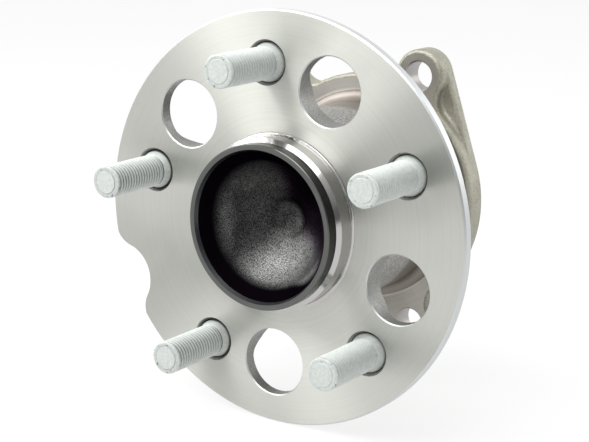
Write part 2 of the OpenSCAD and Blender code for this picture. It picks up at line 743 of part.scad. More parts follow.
hub_flange();
inner_ring();
spindle_nut();
seal_slinger();
encoder_carrier();
encoder_magnet();
for (i = [1:stud_count]) wheel_stud(i);
outer_ring();
seal_case();
seal_lips();
rear_cap();
cap_seal();
sensor_body();
sensor_terminals();
cage(row_1, 1);  // outboard_cage
cage(row_2, -1);  // inboard_cage
for (i = [1:ball_count]) ball(i, row_1);
for (i = [1:ball_count]) ball(i, row_2);
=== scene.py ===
import math

import bmesh
import bpy
from mathutils import Matrix, Vector


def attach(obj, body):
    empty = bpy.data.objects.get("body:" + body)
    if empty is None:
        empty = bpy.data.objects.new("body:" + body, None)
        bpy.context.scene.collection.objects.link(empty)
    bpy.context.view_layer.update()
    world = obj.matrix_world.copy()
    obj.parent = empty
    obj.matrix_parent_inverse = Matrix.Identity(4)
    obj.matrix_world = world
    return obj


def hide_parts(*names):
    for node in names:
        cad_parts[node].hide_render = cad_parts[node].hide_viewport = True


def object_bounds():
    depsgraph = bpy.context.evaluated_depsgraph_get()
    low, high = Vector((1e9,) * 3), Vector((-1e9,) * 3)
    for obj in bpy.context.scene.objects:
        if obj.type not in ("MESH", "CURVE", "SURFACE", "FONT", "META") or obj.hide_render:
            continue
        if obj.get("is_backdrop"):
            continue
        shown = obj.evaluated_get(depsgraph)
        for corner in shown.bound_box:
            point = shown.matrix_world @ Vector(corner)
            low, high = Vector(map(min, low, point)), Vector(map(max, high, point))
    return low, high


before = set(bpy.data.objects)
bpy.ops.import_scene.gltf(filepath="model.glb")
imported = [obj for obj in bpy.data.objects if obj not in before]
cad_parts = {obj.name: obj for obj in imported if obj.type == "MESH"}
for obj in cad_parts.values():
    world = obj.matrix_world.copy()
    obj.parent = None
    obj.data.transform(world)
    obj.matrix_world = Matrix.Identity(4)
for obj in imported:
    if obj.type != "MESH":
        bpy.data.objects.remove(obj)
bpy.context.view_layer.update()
mm = 0.001

# Camera: it stands where the photograph was taken. Its place was found by fitting the rim, the stud
# ends, the wrench holes and the pilots, in a frame in which the hub was turned a little.
view_azimuth = math.radians(33.591)
view_height = math.radians(12.86)
view_distance = 590.801 * mm
view_aside = 5.978 * mm
view_above = 0.135 * mm
hub_level = math.radians(1.5)
to_camera = Vector((
    math.sin(view_azimuth) * math.cos(view_height),
    -math.cos(view_azimuth) * math.cos(view_height),
    math.sin(view_height),
))
camera_right = Vector((math.cos(view_azimuth), math.sin(view_azimuth), 0))
camera_up = to_camera.cross(camera_right)
stand = to_camera * view_distance + camera_right * view_aside + camera_up * view_above
camera_turn = Matrix((camera_right, camera_up, to_camera)).transposed().to_4x4()
camera_data = bpy.data.cameras.new("camera")
camera_data.lens = 100.488
camera_data.sensor_width = 36
camera_data.clip_start = 0.05
camera_data.clip_end = 20
camera = bpy.data.objects.new("camera", camera_data)
camera.matrix_world = Matrix.Rotation(-hub_level, 4, "Y") @ Matrix.Translation(stand) @ camera_turn
bpy.context.scene.collection.objects.link(camera)
bpy.context.scene.camera = camera
bpy.context.scene.view_settings.view_transform = "Standard"


# Studio: a pale floor that the rim stands on, a white room, and soft lamps above, beside and behind the
# hub. The camera sees the room white. Metal sees it white too, but for a dark part low in front.
def node_material(name):
    """A new material, its node tree and its shader."""
    material = bpy.data.materials.new(name)
    material.use_nodes = True
    tree = material.node_tree
    return material, tree, tree.nodes["Principled BSDF"]


def give(tree, value, socket):
    """Links a value that is a socket to another socket, or sets a plain value on it."""
    if isinstance(value, bpy.types.NodeSocket):
        tree.links.new(value, socket)
    else:
        socket.default_value = value


def add_math(tree, operation, *values):
    """Socket with the result of one calculation on numbers or sockets."""
    node = tree.nodes.new("ShaderNodeMath")
    node.operation = operation
    for value, socket in zip(values, node.inputs):
        give(tree, value, socket)
    return node.outputs[0]


def lean(tree, place, way):
    """How far a place or a direction goes along a given direction."""
    dot = tree.nodes.new("ShaderNodeVectorMath")
    dot.operation = "DOT_PRODUCT"
    dot.inputs[1].default_value = way
    tree.links.new(place, dot.inputs[0])
    return dot.outputs["Value"]


def ramp_colour(tree, value, start, first, end, second):
    """Socket with the first colour up to the start value, the second past the end, and a change between."""
    ramp = tree.nodes.new("ShaderNodeValToRGB")
    for element, position, colour in zip(ramp.color_ramp.elements, (start, end), (first, second)):
        element.position = position
        element.color = (*colour, 1)
    tree.links.new(value, ramp.inputs[0])
    return ramp.outputs[0]


def mixed_colour(tree, share, first, second):
    """Socket with the first colour where the share is 0 and the second where it is 1."""
    mix = tree.nodes.new("ShaderNodeMix")
    mix.data_type = "RGBA"
    tree.links.new(share, mix.inputs["Factor"])
    for colour, socket in ((first, mix.inputs["A"]), (second, mix.inputs["B"])):
        give(tree, (*colour, 1) if isinstance(colour, tuple) else colour, socket)
    return mix.outputs["Result"]


def sight(tree):
    """Two sockets: 1 for the camera's own rays, and 1 for those and the ones by way of metal and glass."""
    path = tree.nodes.new("ShaderNodeLightPath").outputs
    by_metal = add_math(tree, "MAXIMUM", path["Is Camera Ray"], path["Is Glossy Ray"])
    return path["Is Camera Ray"], add_math(tree, "MAXIMUM", by_metal, path["Is Transmission Ray"])


floor_level = -76.0 * mm
floor_reach = 4
floor_white = 0.93
floor_glow = 0.8
floor_material, tree, shader = node_material("pale_floor")
shader.inputs["Base Color"].default_value = (floor_white, floor_white, floor_white, 1)
shader.inputs["Roughness"].default_value = 0.9
shader.inputs["Specular IOR Level"].default_value = 0.1
blend = tree.nodes.new("ShaderNodeMixShader")
seen = sight(tree)[1]
tree.links.new(add_math(tree, "MULTIPLY", seen, floor_glow), blend.inputs[0])
tree.links.new(shader.outputs[0], blend.inputs[1])
tree.links.new(tree.nodes.new("ShaderNodeEmission").outputs[0], blend.inputs[2])
tree.links.new(blend.outputs[0], tree.nodes["Material Output"].inputs["Surface"])
floor_mesh = bpy.data.meshes.new("floor")
floor_corners = []
for x, y in ((-1, -1), (1, -1), (1, 1), (-1, 1)):
    floor_corners.append((x * floor_reach, y * floor_reach, floor_level))
floor_mesh.from_pydata(floor_corners, [], [(0, 1, 2, 3)])
floor_mesh.materials.append(floor_material)
floor = bpy.data.objects.new("floor", floor_mesh)
bpy.context.scene.collection.objects.link(floor)
floor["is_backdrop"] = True

room_light = 0.74
low_in_front = (0.55, -0.6, -0.58)
world = bpy.data.worlds.new("white_room")
world.use_nodes = True
bpy.context.scene.world = world
tree = world.node_tree
frontness = lean(tree, tree.nodes.new("ShaderNodeTexCoord").outputs["Generated"], low_in_front)
frontness = add_math(tree, "MULTIPLY_ADD", frontness, 0.5, 0.5)
room = ramp_colour(tree, frontness, 0.45, (1, 1, 1), 0.95, (0.1, 0.1, 0.1))
room.node.color_ramp.interpolation = "EASE"
by_camera, seen = sight(tree)
background = tree.nodes["Background"]
tree.links.new(mixed_colour(tree, by_camera, room, (1, 1, 1)), background.inputs["Color"])
strength = add_math(tree, "MULTIPLY_ADD", seen, 1 - room_light, room_light)
tree.links.new(strength, background.inputs["Strength"])

for name, place, aim, size, power in (
    ("lamp_above", (-0.05, -0.5, 0.85), (0, 0, 0), 0.9, 8.5),
    ("lamp_left", (-0.85, -0.4, 0.6), (0, 0, 0), 0.6, 6.0),
    ("lamp_behind", (0.7, 0.9, 0.5), (0, 0.05, 0), 0.7, 2.6),
):
    lamp = bpy.data.lights.new(name, "AREA")
    lamp.size = size
    lamp.energy = power
    holder = bpy.data.objects.new(name, lamp)
    holder.location = place
    holder.rotation_euler = (Vector(aim) - Vector(place)).to_track_quat("-Z", "Y").to_euler()
    bpy.context.scene.collection.objects.link(holder)


# Outer ring: a steel forging that stays still and carries both outer raceways. The barrel, the front
# and back of the flange and the spigot are turned. The ears' flanks keep the shot-blasted skin of the
# forging, with rounded edges and a valley where the ears stand on the wider plate behind them.
bolt_turns = [math.radians(a) for a in (65, -65, 137, -137)]
bolt_away = 53.1
bolt_hole_r = 5.5
bolt_hole_chamfer = 0.4
ear_r = 10
ear_blend = 8
disc_r = 46.8
ring_front = 15
ring_end = 80
ear_front = 59
ear_step = 63.5
ear_back = 68.5
foot_fillet = 5
front_round = 1.5
step_round = 1.6
back_round = 1
spigot_r = 36
row_depths = (30.5, 62)
pitch_r = 26
ball_r = 5.953
ball_clearance = 0.03
race_openness = 0.52
race_r = 2 * ball_r * race_openness
race_shift = race_r - ball_r - ball_clearance
contact = math.radians(40)
barrel_r = 36.5
ring_bore_r = 32.2
ring_bore_mouth = 2.4
ring_land_r = 27.2


def far_hit(turn, centre, radius, nearer=False):
    """Where a line from the axis at a turn leaves a circle, or where it first meets it."""
    along = math.cos(turn) * centre[0] + math.sin(turn) * centre[1]
    rest = radius ** 2 - (centre[0] ** 2 + centre[1] ** 2 - along ** 2)
    if rest < 0:
        return None
    return along - math.sqrt(rest) if nearer else along + math.sqrt(rest)


blend_r = disc_r + ear_blend
blend_x = (blend_r ** 2 - (ear_r + ear_blend) ** 2 + bolt_away ** 2) / (2 * bolt_away)
blend_y = math.sqrt(blend_r ** 2 - blend_x ** 2)
blend_end = math.atan2(blend_y, blend_x)
touch_share = ear_r / (ear_r + ear_blend)
touch = (bolt_away + (blend_x - bolt_away) * touch_share, blend_y * touch_share)
touch_turn = math.atan2(touch[1], touch[0])


def turn_gap(a, b):
    """The angle from one turn to another, from minus to plus half a turn."""
    return (a - b + math.pi) % (2 * math.pi) - math.pi


def ear_radius(turn):
    """The outline of the flange's front: a disc with four ears, blended by hollow arcs."""
    for bolt in bolt_turns:
        off = abs(turn_gap(turn, bolt))
        if off <= touch_turn:
            return far_hit(off, (bolt_away, 0), ear_r)
        if off < blend_end:
            hit = far_hit(off, (blend_x, blend_y), ear_blend, nearer=True)
            return hit if hit is not None else math.hypot(*touch)
    return disc_r


plate_lean = math.acos((disc_r - ear_r) / bolt_away)
plate_side = bolt_turns[0] - plate_lean
plate_corner = math.atan2(
    bolt_away * math.sin(bolt_turns[0]) + ear_r * math.sin(plate_side),
    bolt_away * math.cos(bolt_turns[0]) + ear_r * math.cos(plate_side),
)


def plate_radius(turn):
    """The outline of the plate behind, which runs straight from the disc's +X side to the ears there."""
    off = abs(turn_gap(turn, 0))
    line = disc_r / math.cos(off - plate_side) if plate_side < off < plate_corner else 0
    return max(ear_radius(turn), line)


# The outline's turns lie evenly round the axis, and closer where an ear's flank runs outwards.
even_turns = 480
turns = [math.tau * i / even_turns for i in range(even_turns)]
foot = math.atan2(touch[1] - blend_y, touch[0] - blend_x)
sweep = turn_gap(math.atan2(-blend_y, -blend_x), foot)
ear_points = []
ear_steps = 26
blend_steps = 20
for i in range(1, ear_steps + 1):
    t = math.pi / 2 * i / ear_steps
    ear_points.append((bolt_away + ear_r * math.cos(t), ear_r * math.sin(t)))
for i in range(1, blend_steps):
    t = foot + sweep * i / blend_steps
    ear_points.append((blend_x + ear_blend * math.cos(t), blend_y + ear_blend * math.sin(t)))
for bolt in bolt_turns:
    for side in (-1, 1):
        for x, y in ear_points:
            turns.append((bolt + side * math.atan2(y, x)) % math.tau)
turns.sort()
least_gap = 0.0003
kept = [turns[0]]
for turn in turns[1:]:
    if turn - kept[-1] > least_gap:
        kept.append(turn)
turns = kept


def outline(radius_at):
    """The points of an outline at all the turns, from its radius at a turn."""
    return [Vector((radius_at(t) * math.cos(t), radius_at(t) * math.sin(t))) for t in turns]


def drawn_in(points, inset):
    """An outline moved inwards, square to itself."""
    count = len(points)
    result = []
    for i, p in enumerate(points):
        along = (points[(i + 1) % count] - points[i - 1]).normalized()
        result.append(p - Vector((along.y, -along.x)) * inset)
    return result


def circle_row(radius, depth):
    return [(radius * math.cos(t), radius * math.sin(t), depth) for t in turns]


def around(radius, depth, at_turns):
    """Points in metres at a radius and a depth in millimetres, one at each turn."""
    return [Vector((radius * math.cos(t) * mm, depth * mm, radius * math.sin(t) * mm)) for t in at_turns]


def arc_points(centre, radius, start, end, steps):
    """Points of an arc between two angles in degrees."""
    points = []
    for i in range(steps + 1):
        a = math.radians(start + (end - start) * i / steps)
        points.append((centre[0] + radius * math.cos(a), centre[1] + radius * math.sin(a)))
    return points


# The ring is a closed grid. Each of its rows goes once round the axis, and together they follow the
# section: along the barrel, over the flange's rounded edges, round the spigot and back through the bore.
barrel_line = [
    (ring_bore_r, ring_front + 0.5), (ring_bore_r + 0.5, ring_front), (barrel_r - 1, ring_front),
    (barrel_r, ring_front + 1), (barrel_r, ear_front - foot_fillet),
]
barrel_line += arc_points((barrel_r + foot_fillet, ear_front - foot_fillet), foot_fillet, 180, 90, 8)[1:]
rows = [circle_row(radius, depth) for radius, depth in barrel_line]
front_line = outline(ear_radius)
plate_line = outline(plate_radius)
front_steps = 6
for i in range(front_steps + 1):
    a = math.pi / 2 * i / front_steps
    depth = ear_front + front_round * (1 - math.cos(a))
    rows.append([(p.x, p.y, depth) for p in drawn_in(front_line, front_round * (1 - math.sin(a)))])
steps = 5
row_gap = 0.05
gaps = [(b - f).length for f, b in zip(front_line, plate_line)]
ways = [(b - f) / g if g > 1e-6 else Vector((0, 0)) for f, b, g in zip(front_line, plate_line, gaps)]
rounds = [min(step_round, g / 2) for g in gaps]
for i in range(steps + 1):
    a = math.pi / 2 * i / steps
    row = []
    for f, way, r in zip(front_line, ways, rounds):
        p = f + way * r * (1 - math.cos(a))
        row.append((p.x, p.y, ear_step - row_gap * (steps + 1 - i) - r + r * math.sin(a)))
    rows.append(row)
for i in range(steps + 1):
    a = math.pi / 2 * i / steps
    row = []
    for b, way, r in zip(plate_line, ways, rounds):
        p = b - way * r * (1 - math.sin(a))
        row.append((p.x, p.y, ear_step + row_gap * (1 + i) + r * (1 - math.cos(a))))
    rows.append(row)
back_steps = 4
for i in range(back_steps + 1):
    a = math.pi / 2 * i / back_steps
    depth = ear_back - back_round * (1 - math.sin(a))
    rows.append([(p.x, p.y, depth) for p in drawn_in(plate_line, back_round * (1 - math.cos(a)))])
spigot_line = [
    (spigot_r, ear_back), (spigot_r, ring_end - 0.5), (spigot_r - 0.5, ring_end),
    (ring_bore_r + ring_bore_mouth, ring_end), (ring_bore_r, ring_end - ring_bore_mouth),
]
for row_depth, way in ((row_depths[1], -1), (row_depths[0], 1)):
    centre = (pitch_r - race_shift * math.cos(contact), row_depth - way * race_shift * math.sin(contact))
    land_turn = math.degrees(math.acos((ring_land_r - centre[0]) / race_r))
    race = [(ring_bore_r, centre[1])]
    race += [(r, centre[1] + way * (d - centre[1])) for r, d in arc_points(centre, race_r, 0, land_turn, 10)]
    spigot_line += race if way < 0 else reversed(race)
rows += [circle_row(radius, depth) for radius, depth in spigot_line]
mesh = bmesh.new()
grid = [[mesh.verts.new((x * mm, d * mm, z * mm)) for x, z, d in row] for row in rows]
for i, low in enumerate(grid):
    high = grid[(i + 1) % len(grid)]
    for j in range(len(turns)):
        k = (j + 1) % len(turns)
        mesh.faces.new((low[j], low[k], high[k], high[j]))
merge_gap = 1e-7
bmesh.ops.remove_doubles(mesh, verts=mesh.verts, dist=merge_gap)
bmesh.ops.dissolve_degenerate(mesh, edges=mesh.edges, dist=merge_gap)
bmesh.ops.recalc_face_normals(mesh, faces=mesh.faces)
ring_mesh = bpy.data.meshes.new("forged_ring")
mesh.to_mesh(ring_mesh)
mesh.free()


def linked(name, data):
    piece = bpy.data.objects.new(name, data)
    bpy.context.scene.collection.objects.link(piece)
    return piece


ring = linked("forged_ring", ring_mesh)

# Bolt holes through the ears, drilled with a small chamfer at the front.
drill = bmesh.new()
drill_sides = 64
drill_turns = [math.tau * i / drill_sides for i in range(drill_sides)]
drill_line = (
    (bolt_hole_r + bolt_hole_chamfer, ear_front - 0.6), (bolt_hole_r + bolt_hole_chamfer, ear_front - 0.001),
    (bolt_hole_r, ear_front + bolt_hole_chamfer), (bolt_hole_r, ear_back + 1),
)
for bolt in bolt_turns:
    place = Matrix.Translation((bolt_away * math.cos(bolt) * mm, 0, bolt_away * math.sin(bolt) * mm))
    rings = []
    for radius, depth in drill_line:
        rings.append([drill.verts.new(place @ point) for point in around(radius, depth, drill_turns)])
    for low, high in zip(rings, rings[1:]):
        for i in range(drill_sides):
            j = (i + 1) % drill_sides
            drill.faces.new((low[i], low[j], high[j], high[i]))
    drill.faces.new(rings[0])
    drill.faces.new(rings[-1])
bmesh.ops.recalc_face_normals(drill, faces=drill.faces)
drill_mesh = bpy.data.meshes.new("drill")
drill.to_mesh(drill_mesh)
drill.free()
drills = linked("drill", drill_mesh)
cut = ring.modifiers.new("bolt_holes", "BOOLEAN")
cut.operation = "DIFFERENCE"
cut.solver = "MANIFOLD"
cut.object = drills


def make_real(piece):
    """Applies a piece's modifiers, which leaves a plain mesh."""
    depsgraph = bpy.context.evaluated_depsgraph_get()
    made = bpy.data.meshes.new_from_object(piece.evaluated_get(depsgraph), depsgraph=depsgraph)
    piece.modifiers.clear()
    piece.data = made


make_real(ring)
bpy.data.objects.remove(drills)


def crisp_edges(piece, angle, regions=12):
    """Smooth shading, with a sharp edge where the surface turns more than the angle or changes finish."""
    shape = bmesh.new()
    shape.from_mesh(piece.data)
    for face in shape.faces:
        face.smooth = True
    for edge in shape.edges:
        if len(edge.link_faces) != 2:
            continue
        a, b = edge.link_faces
        bend = math.degrees(edge.calc_face_angle(0))
        limit = regions if a.material_index != b.material_index else angle
        edge.smooth = bend < limit
    shape.to_mesh(piece.data)
    shape.free()
    weigh = piece.modifiers.new("even_normals", "WEIGHTED_NORMAL")
    weigh.keep_sharp = True
    weigh.weight = 50
    make_real(piece)


def object_place(tree):
    """Socket with a place on the piece, in metres."""
    return tree.nodes.new("ShaderNodeTexCoord").outputs["Object"]


def from_axis(tree, place):
    """The part of a place that is square to the wheel axis, and its distance from the axis in metres."""
    flat = tree.nodes.new("ShaderNodeVectorMath")
    flat.operation = "MULTIPLY"
    flat.inputs[1].default_value = (1, 0, 1)
    tree.links.new(place, flat.inputs[0])
    length = tree.nodes.new("ShaderNodeVectorMath")
    length.operation = "LENGTH"
    tree.links.new(flat.outputs[0], length.inputs[0])
    return flat.outputs[0], length.outputs["Value"]


def in_world(tree, way):
    """Socket with a direction of the piece as the world has it, for the sheen of a turned surface."""
    to_world = tree.nodes.new("ShaderNodeVectorTransform")
    to_world.vector_type = "VECTOR"
    to_world.convert_from = "OBJECT"
    to_world.convert_to = "WORLD"
    give(tree, way, to_world.inputs[0])
    return to_world.outputs[0]


def noise(tree, place, scale, detail, roughness=0.6):
    """Socket with noise from 0 to 1 over a place, or over a single number."""
    node = tree.nodes.new("ShaderNodeTexNoise")
    single = place.type == "VALUE"
    node.noise_dimensions = "1D" if single else "3D"
    node.inputs["Scale"].default_value = scale
    node.inputs["Detail"].default_value = detail
    node.inputs["Roughness"].default_value = roughness
    tree.links.new(place, node.inputs["W" if single else "Vector"])
    return node.outputs["Fac"]


def spread(tree, value, start, end, low=0.0, high=1.0, change="SMOOTHSTEP"):
    """A change from low to high as the value goes from start to end, soft at both unless it is linear."""
    ease = tree.nodes.new("ShaderNodeMapRange")
    ease.interpolation_type = change
    ease.inputs["From Min"].default_value = start
    ease.inputs["From Max"].default_value = end
    ease.inputs["To Min"].default_value = low
    ease.inputs["To Max"].default_value = high
    tree.links.new(value, ease.inputs["Value"])
    return ease.outputs[0]


def raised(tree, shader, height, depth):
    """Gives a surface relief of a depth in metres from a height of 0 to 1."""
    bump = tree.nodes.new("ShaderNodeBump")
    bump.inputs["Distance"].default_value = depth
    tree.links.new(height, bump.inputs["Height"])
    tree.links.new(bump.outputs[0], shader.inputs["Normal"])


def turned_finish(name, dark, light, roughness, sheen, grooves, depth, cylinder=False):
    """Turned steel: fine grooves round the wheel axis, uneven from cut to cut, under a film of oil.
    The sheen's tangent is the axis on a cylinder, and points away from the axis on a flat face."""
    material, tree, shader = node_material(name)
    place = object_place(tree)
    flat, away = from_axis(tree, place)
    axis = (0, 1, 0)
    shader.inputs["Metallic"].default_value = 1
    shader.inputs["Anisotropic"].default_value = sheen
    tree.links.new(in_world(tree, axis if cylinder else flat), shader.inputs["Tangent"])
    cuts = noise(tree, add_math(tree, "ADD", away, lean(tree, place, axis)), scale=grooves, detail=3.0)
    cloud = noise(tree, place, scale=55.0, detail=4.0)
    mixed = add_math(tree, "MULTIPLY_ADD", cuts, 0.5, add_math(tree, "MULTIPLY", cloud, 0.5))
    tree.links.new(ramp_colour(tree, mixed, 0.3, dark, 0.75, light), shader.inputs["Base Color"])
    rough = spread(tree, cloud, 0.0, 1.0, roughness * 0.8, roughness * 1.25, "LINEAR")
    tree.links.new(rough, shader.inputs["Roughness"])
    raised(tree, shader, cuts, depth)
    return material


def grainy_finish(name, dark, light, grain, depth, metal, roughness):
    """A skin with fine dents, as shot-blasting, pressing, coating or moulding leaves it."""
    material, tree, shader = node_material(name)
    place = object_place(tree)
    shader.inputs["Metallic"].default_value = metal
    dents = noise(tree, place, scale=grain, detail=5.0, roughness=0.65)
    cloud = noise(tree, place, scale=grain / 12, detail=3.0, roughness=0.55)
    mixed = add_math(tree, "MULTIPLY_ADD", dents, 0.65, add_math(tree, "MULTIPLY", cloud, 0.35))
    tree.links.new(ramp_colour(tree, mixed, 0.32, dark, 0.68, light), shader.inputs["Base Color"])
    rough = spread(tree, dents, 0.0, 1.0, roughness * 1.2, roughness * 0.8, "LINEAR")
    tree.links.new(rough, shader.inputs["Roughness"])
    raised(tree, shader, dents, depth)
    return material


def lay_over(material, share, colour):
    """Covers a finish with a colour or a socket's colour, fully where the share is 1."""
    tree = material.node_tree
    base = tree.nodes["Principled BSDF"].inputs["Base Color"]
    tree.links.new(mixed_colour(tree, share, base.links[0].from_socket, colour), base)


def finish_faces(piece, finishes, finish_of):
    """Gives each face the finish that its place in millimetres and its direction ask for."""
    piece.data.materials.clear()
    for material in finishes:
        piece.data.materials.append(material)
    for face in piece.data.polygons:
        face.material_index = finishes.index(finish_of(face.center / mm, face.normal))


forged_skin = grainy_finish(
    "forged_skin", (0.246, 0.238, 0.187), (0.493, 0.48, 0.399),
    grain=1500.0, depth=0.3 * mm, metal=0.7, roughness=0.42,
)
ring_face = turned_finish(
    "turned_ring_face", (0.46, 0.44, 0.405), (0.61, 0.585, 0.545),
    roughness=0.34, sheen=0.6, grooves=1800.0, depth=0.01 * mm,
)
ring_barrel = turned_finish(
    "turned_ring_barrel", (0.195, 0.174, 0.155), (0.277, 0.251, 0.228),
    roughness=0.36, sheen=0.5, grooves=2600.0, depth=0.01 * mm, cylinder=True,
)
drilled = turned_finish(
    "drilled_hole", (0.336, 0.32, 0.312), (0.48, 0.464, 0.448),
    roughness=0.4, sheen=0.0, grooves=2400.0, depth=0.02 * mm,
)
# Towards the wheel flange the barrel is left mottled and grey.
mottle_start = 43 * mm
mottle_full = 38 * mm
tree = ring_barrel.node_tree
place = object_place(tree)
mottles = noise(tree, place, scale=1300.0, detail=5.0, roughness=0.65)
grey = ramp_colour(tree, mottles, 0.35, (0.12, 0.118, 0.11), 0.65, (0.5, 0.495, 0.467))
outboard = spread(tree, lean(tree, place, (0, 1, 0)), mottle_start, mottle_full)
lay_over(ring_barrel, outboard, grey)
barrel_metal = spread(tree, outboard, 0.0, 1.0, 1.0, 0.6)
tree.links.new(barrel_metal, tree.nodes["Principled BSDF"].inputs["Metallic"])


def near_hole(centre, away, hole_turns, reach):
    """Whether a place lies within the reach of one of the holes on a circle."""
    for turn in hole_turns:
        if math.hypot(centre.x - away * math.cos(turn), centre.z - away * math.sin(turn)) < reach:
            return True
    return False


def ring_finish(centre, normal):
    radius = math.hypot(centre.x, centre.z)
    if near_hole(centre, bolt_away, bolt_turns, bolt_hole_r + 0.6):
        return drilled if abs(normal.y) < 0.99 else ring_face
    if abs(normal.y) > 0.995 and (centre.y > ear_back - 0.01 or centre.y < ear_front + 0.01):
        return ring_face
    if radius < spigot_r + 0.1 or radius < barrel_r + foot_fillet and centre.y < ear_front:
        return ring_barrel
    return forged_skin


finish_faces(ring, [forged_skin, ring_face, ring_barrel, drilled], ring_finish)
crisp_edges(ring, angle=32, regions=20)
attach(ring, "outer_ring")
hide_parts("outer_ring")

# Hub: one forging for the flange, the spindle and the pilots. The wheel face, the rim and the pilots
# are turned bright. The spokes' backs keep the forged skin, and so does the recess in the pilot, which
# is dark with scale and painted shade. The CAD mesh is merged and each surface gets its own finish.
hub_turn = math.radians(204.4)
stud_away = 57.15
stud_count = 5
stud_turns = [hub_turn + math.pi + math.tau * i / stud_count for i in range(stud_count)]
wrench_turns = [hub_turn + b for b in bolt_turns]
stud_hole_reach = 9
wrench_hole_reach = 13.1
wrench_hole_chamfer = 0.41
rim_r = 74.6
spindle_start = 11.4
pilot_r = 32.7
rotor_pilot_end = -8.2
wheel_pilot_end = -12.6
wheel_pilot_r = 29
pilot_front_r = 28
recess_mouth_r = 27.3
recess_depth = 8
wheel_face = turned_finish(
    "turned_wheel_face", (0.585, 0.593, 0.55), (0.652, 0.661, 0.614),
    roughness=0.4, sheen=0.95, grooves=900.0, depth=0.0012 * mm,
)
rim_side = turned_finish(
    "turned_rim", (0.59, 0.607, 0.607), (0.672, 0.689, 0.689),
    roughness=0.45, sheen=0.4, grooves=2600.0, depth=0.004 * mm, cylinder=True,
)
rotor_pilot = turned_finish(
    "turned_rotor_pilot", (0.46, 0.45, 0.442), (0.53, 0.52, 0.51),
    roughness=0.15, sheen=0.5, grooves=2600.0, depth=0.002 * mm, cylinder=True,
)
wheel_pilot = turned_finish(
    "turned_wheel_pilot", (0.27, 0.27, 0.248), (0.36, 0.36, 0.337),
    roughness=0.26, sheen=0.7, grooves=2600.0, depth=0.003 * mm, cylinder=True,
)
pilot_front = turned_finish(
    "turned_pilot_front", (0.109, 0.113, 0.105), (0.156, 0.16, 0.152),
    roughness=0.32, sheen=0.6, grooves=2600.0, depth=0.004 * mm,
)
pilot_mouth = turned_finish(
    "turned_pilot_mouth", (0.101, 0.105, 0.113), (0.156, 0.16, 0.168),
    roughness=0.3, sheen=0.5, grooves=2600.0, depth=0.004 * mm, cylinder=True,
)
hole_wall = grainy_finish(
    "drilled_flange_hole", (0.17, 0.17, 0.162), (0.357, 0.357, 0.34),
    grain=1500.0, depth=0.14 * mm, metal=0.7, roughness=0.45,
)
stud_pocket = grainy_finish(
    "stud_pocket", (0.357, 0.357, 0.34), (0.459, 0.459, 0.438),
    grain=1400.0, depth=0.04 * mm, metal=0.7, roughness=0.4,
)
ground = turned_finish(
    "ground_steel", (0.528, 0.528, 0.52), (0.624, 0.624, 0.616),
    roughness=0.12, sheen=0.4, grooves=3000.0, depth=0.003 * mm, cylinder=True,
)
hub_skin = grainy_finish(
    "hub_forging", (0.213, 0.213, 0.189), (0.41, 0.41, 0.369),
    grain=1300.0, depth=0.16 * mm, metal=0.85, roughness=0.42,
)
# The wheel pilot's side is painted darker towards the right, a painted dark reflection, and the studs'
# pockets get painted shade deep inside.
for material, way, start, end, painted_dark in (
    (wheel_pilot, (0.966, 0, 0.259), 4 * mm, 25 * mm, (0.045, 0.045, 0.043)),
    (stud_pocket, (0, 1, 0), 1.4 * mm, 2.2 * mm, (0.012, 0.012, 0.011)),
):
    tree = material.node_tree
    lay_over(material, spread(tree, lean(tree, object_place(tree), way), start, end), painted_dark)

# Scale in the recess, grey in the bowl with fine grains. Painted shade blackens the steep wall and darkens
# the bowl to purple beyond the cup; a painted highlight lights the lower right, a painted reflection the left
# edge.
scale, tree, shader = node_material("forging_scale_and_painted_light")
shader.inputs["Metallic"].default_value = 1
shader.inputs["Specular Tint"].default_value = (0.25, 0.25, 0.25, 1)
place = object_place(tree)
away = from_axis(tree, place)[1]
grains = noise(tree, place, scale=3300.0, detail=3.0)
clouds = noise(tree, place, scale=260.0, detail=4.0)
# The wall's painted black shade starts further from the axis at the lit right end of the bowl.
to_right = add_math(tree, "DIVIDE", lean(tree, place, (0.966, 0, -0.26)), away)
wall_start = add_math(tree, "SUBTRACT", away, spread(tree, to_right, 0.66, 1.0, 0.0, 3.5 * mm))
bowl = spread(tree, wall_start, 24 * mm, 20.6 * mm)
# A painted highlight lightens the lower right and a painted reflection the bowl's left edge; the bowl is also
# lighter towards its top.
painted_highlight = spread(tree, lean(tree, place, (0.66, 0, -0.75)), -2 * mm, 14 * mm, 0.0, 0.21)
painted_reflection_left = spread(tree, lean(tree, place, (-1, 0, -0.1)), 17.2 * mm, 21.6 * mm, 0.0, 0.12)
lighter_top = spread(tree, lean(tree, place, (-0.2, 0, 0.98)), 9 * mm, 18 * mm, 0.0, 0.07)
# Painted shade, dark purple, lies beyond the cup at the upper right, where the bowl faces away from the
# light.
past_cup = spread(tree, away, 6.6 * mm, 7.8 * mm)
to_upper_right = add_math(tree, "DIVIDE", lean(tree, place, (0.85, 0, 0.53)), away)
painted_shade_past_cup = add_math(tree, "MULTIPLY", past_cup, spread(tree, to_upper_right, 0.3, 0.92))
tone = add_math(tree, "MULTIPLY_ADD", grains, 0.085, painted_highlight)
for more in (painted_reflection_left, lighter_top):
    tone = add_math(tree, "ADD", tone, more)
for share in (
    spread(tree, clouds, 0.3, 0.7, 0.85, 1.15),
    spread(tree, painted_shade_past_cup, 0.0, 1.0, 1.0, 0.16),
    bowl,
    spread(tree, grains, 0.4, 0.6, 0.15, 1.8),
):
    tone = add_math(tree, "MULTIPLY", tone, share)
# The light colour of the grains and the painted highlight and reflection, purple in the painted shade.
bare_metal_and_highlight = mixed_colour(tree, painted_shade_past_cup, (0.97, 0.98, 0.95), (0.75, 0.5, 0.8))
